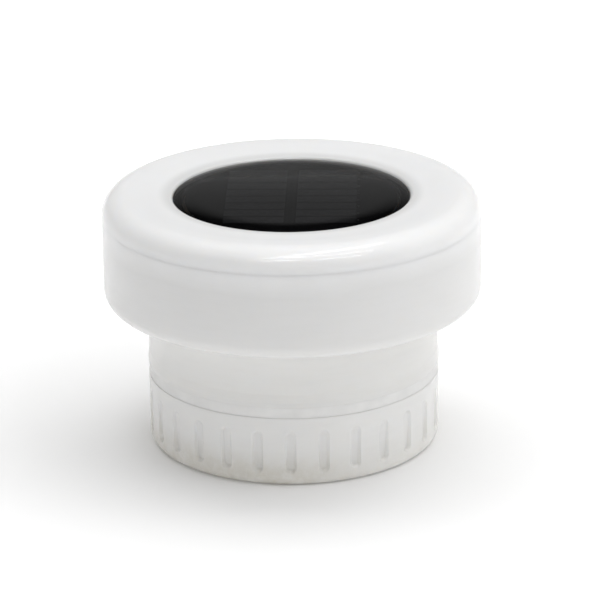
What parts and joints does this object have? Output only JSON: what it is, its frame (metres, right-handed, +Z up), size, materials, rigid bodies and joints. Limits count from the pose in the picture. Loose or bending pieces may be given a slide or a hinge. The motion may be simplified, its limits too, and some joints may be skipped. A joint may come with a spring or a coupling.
{
  "type": "floating pool light",
  "caption": "Solar floating pool light: a wide translucent float head with a round dark solar window, on a narrower neck closed by a fluted screw cap.",
  "frame": {"origin": "on the axis of revolution, at the bottom of the screw cap, which the light stands on", "axes": "+Z up through the solar window; +X to the right of the panel's two columns of cells; -Y towards the front"},
  "size_m": [0.142, 0.142, 0.097],
  "materials": {
    "float_plastic": "translucent white polyethylene, satin gloss",
    "cap_plastic": "translucent white polyethylene, satin",
    "seal_silicone": "pale translucent silicone",
    "gasket_foam": "black closed-cell gasket",
    "window_lens": "dark tinted glossy lens",
    "panel_board": "black laminate",
    "cell_silicon": "dark blue-grey silicon",
    "solder": "tinned",
    "tray_plastic": "white moulded plastic",
    "screw_steel": "stainless",
    "board_laminate": "solder-masked laminate",
    "standoff_brass": "turned brass",
    "lamp_package": "white package, yellow phosphor",
    "chip_epoxy": "black epoxy",
    "capacitor_can": "sleeved can",
    "ferrite": "ferrite and copper",
    "sensor_resin": "clear resin",
    "lead_red": "PVC insulation",
    "lead_black": "PVC insulation",
    "holder_plastic": "black moulded plastic",
    "battery_sleeve": "plastic sleeve",
    "contact_nickel": "nickel plated",
    "plunger_plastic": "black acetal",
    "ballast_steel": "zinc-phosphate coated",
    "button_plastic": "satin overmoulded button"
  },
  "bodies": {
    "light": {"top_cover": "float_plastic", "float_bowl": "float_plastic", "neck_tube": "float_plastic", "cover_seal": "seal_silicone", "window_gasket": "gasket_foam", "tray_gasket": "seal_silicone", "solar_window": "window_lens", "solar_board": "panel_board", "solar_cells": "cell_silicon", "cell_solder_joints": "solder", "cell_ribbons": "solder", "inner_tray": "tray_plastic", "tray_screws": "screw_steel", "lamp_board": "board_laminate", "board_standoffs": "standoff_brass", "board_screws": "screw_steel", "lamp_leds": "lamp_package", "controller_chip": "chip_epoxy", "capacitors": "capacitor_can", "charge_coil": "ferrite", "chip_resistors": "chip_epoxy", "light_sensor": "sensor_resin", "panel_lead_positive": "lead_red", "battery_lead_positive": "lead_red", "panel_lead_negative": "lead_black", "battery_lead_negative": "lead_black", "battery_holder": "holder_plastic", "battery_near": "battery_sleeve", "battery_far": "battery_sleeve", "contact_plates": "contact_nickel", "contact_springs": "contact_nickel", "switch_board": "board_laminate", "switch_housing": "holder_plastic"},
    "seal_ring": {"cap_seal": "seal_silicone"},
    "cap": {"base_cap": "cap_plastic", "ballast_ring": "ballast_steel", "ballast_screws": "screw_steel", "button_retainer": "tray_plastic", "retainer_screws": "screw_steel"},
    "button": {"power_button": "button_plastic", "button_seal": "seal_silicone"},
    "plunger": {"switch_plunger": "plunger_plastic"}
  },
  "joints": [
    {"name": "cap_drop", "type": "slide", "parent": "light", "child": "seal_ring", "axis": [0, 0, -1], "range_m": [0, 0.0175]},
    {"name": "cap_turn", "type": "hinge", "parent": "seal_ring", "child": "cap", "pos_m": [0, 0, 0], "axis": [0, 0, -1], "range_deg": [0, 1260]},
    {"name": "button_press", "type": "slide", "parent": "cap", "child": "button", "axis": [0, 0, 1], "range_m": [0, 0.0012], "stiffness_N_per_m": 600, "springref_m": -0.002},
    {"name": "plunger_press", "type": "slide", "parent": "light", "child": "plunger", "axis": [0, 0, 1], "range_m": [0, 0.0012], "stiffness_N_per_m": 200, "springref_m": -0.001}
  ],
  "couplings": [
    {"joint": "cap_drop", "follows": "cap_turn", "m_per_rad": 0.00079577},
    {"joint": "plunger_press", "follows": "button_press", "ratio": 1}
  ]
}
